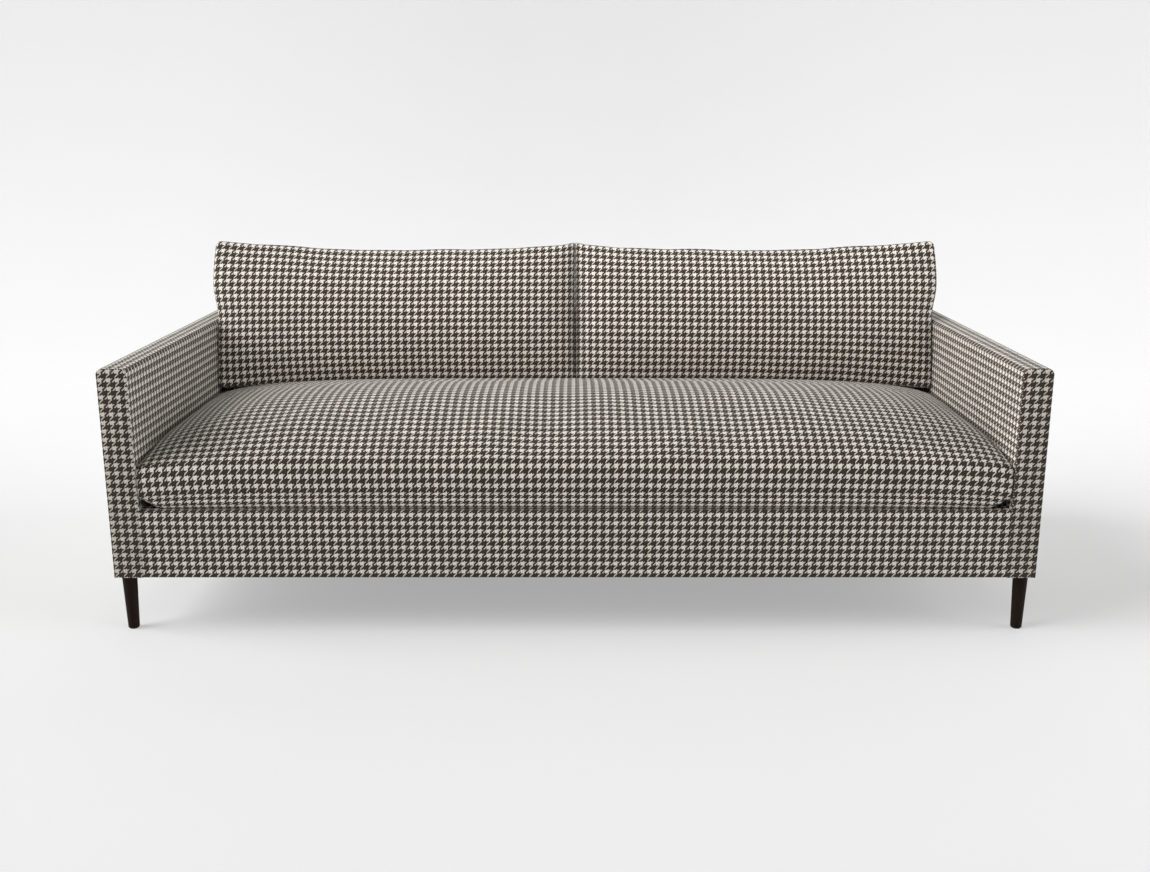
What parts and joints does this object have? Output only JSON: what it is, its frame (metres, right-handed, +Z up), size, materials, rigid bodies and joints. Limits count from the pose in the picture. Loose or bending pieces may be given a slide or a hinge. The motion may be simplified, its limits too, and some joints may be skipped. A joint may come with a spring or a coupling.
{
  "type": "four-seater sofa",
  "caption": "Low track-arm sofa with a one-piece bench seat cushion, loose crowned back cushions, tapered peg legs, a sprung deck and a timber frame.",
  "frame": {"origin": "on the floor, midway across the sofa's width and depth", "axes": "+X towards the sofa's right end as seen from in front, -Y towards the front, +Z up"},
  "size_m": [2.22, 1.015, 0.8728],
  "materials": {
    "upholstery": "heavy woven houndstooth, dark brown and cream",
    "back_cushion_upholstery": "heavy woven houndstooth, dark brown and cream",
    "deck_cloth": "plain dark cotton deck cloth",
    "dust_cloth": "black spun-bonded cloth",
    "foam": "open-cell upholstery foam",
    "insulator": "needled felt pad",
    "webbing": "woven elastic webbing",
    "hardwood": "planed, unfinished",
    "plywood": "sanded, unfinished",
    "leg_wood": "turned, stained near black, satin lacquer",
    "spring_steel": "drawn and oil-tempered",
    "zinc_steel": "zinc plated",
    "glide_nylon": "moulded, matte",
    "zip_tape": "woven tape with a coil chain",
    "zip_metal": "die cast, antique finish"
  },
  "bodies": {
    "root": {"front_seat_rail": "hardwood", "rear_seat_rail": "hardwood", "rear_bottom_rail": "hardwood", "left_side_rail": "hardwood", "right_side_rail": "hardwood", "left_arm_top_rail": "hardwood", "right_arm_top_rail": "hardwood", "left_front_post": "hardwood", "right_front_post": "hardwood", "left_rear_post": "hardwood", "right_rear_post": "hardwood", "left_seat_stretcher": "hardwood", "centre_seat_stretcher": "hardwood", "right_seat_stretcher": "hardwood", "corner_blocks": "hardwood", "back_top_rail": "hardwood", "back_ribs": "plywood", "front_legs": "leg_wood", "rear_legs": "leg_wood", "leg_bolts": "zinc_steel", "leg_inserts": "zinc_steel", "leg_glides": "glide_nylon", "seat_springs": "spring_steel", "spring_clips": "zinc_steel", "spring_tie_wires": "spring_steel", "seat_insulator_pad": "insulator", "front_edge_foam": "foam", "front_rail_cover": "upholstery", "seat_deck_cloth": "deck_cloth", "left_arm_outer_board": "plywood", "right_arm_outer_board": "plywood", "left_arm_inner_board": "plywood", "right_arm_inner_board": "plywood", "left_arm_cover": "upholstery", "right_arm_cover": "upholstery", "left_arm_foam": "foam", "right_arm_foam": "foam", "left_arm_facing": "upholstery", "right_arm_facing": "upholstery", "back_webbing": "webbing", "back_foam_pad": "foam", "inside_back_cover": "upholstery", "back_board": "plywood", "outside_back_cover": "upholstery", "dust_cover": "dust_cloth"},
    "seat_cushion": {"seat_cushion_cover": "upholstery", "seat_cushion_core": "foam", "seat_cushion_zip_tape": "zip_tape"},
    "seat_cushion_zip_slider": {"seat_cushion_zip_slider": "zip_metal"},
    "left_back_cushion": {"left_back_cushion_cover": "back_cushion_upholstery", "left_back_cushion_core": "foam", "left_back_cushion_zip_tape": "zip_tape"},
    "left_back_cushion_zip_slider": {"left_back_cushion_zip_slider": "zip_metal"},
    "right_back_cushion": {"right_back_cushion_cover": "back_cushion_upholstery", "right_back_cushion_core": "foam", "right_back_cushion_zip_tape": "zip_tape"},
    "right_back_cushion_zip_slider": {"right_back_cushion_zip_slider": "zip_metal"}
  },
  "joints": [
    {"name": "seat_cushion_lift", "type": "slide", "parent": "root", "child": "seat_cushion", "axis": [0, 0, 1], "range_m": [0, 0.36]},
    {"name": "left_back_cushion_lift", "type": "slide", "parent": "seat_cushion", "child": "left_back_cushion", "axis": [0, 0, 1], "range_m": [0, 0.3]},
    {"name": "right_back_cushion_lift", "type": "slide", "parent": "seat_cushion", "child": "right_back_cushion", "axis": [0, 0, 1], "range_m": [0, 0.3]},
    {"name": "seat_cushion_zip", "type": "slide", "parent": "seat_cushion", "child": "seat_cushion_zip_slider", "axis": [-1, 0, 0], "range_m": [0, 1.73]},
    {"name": "left_back_cushion_zip", "type": "slide", "parent": "left_back_cushion", "child": "left_back_cushion_zip_slider", "axis": [-1, 0, 0], "range_m": [0, 0.73]},
    {"name": "right_back_cushion_zip", "type": "slide", "parent": "right_back_cushion", "child": "right_back_cushion_zip_slider", "axis": [-1, 0, 0], "range_m": [0, 0.73]}
  ]
}
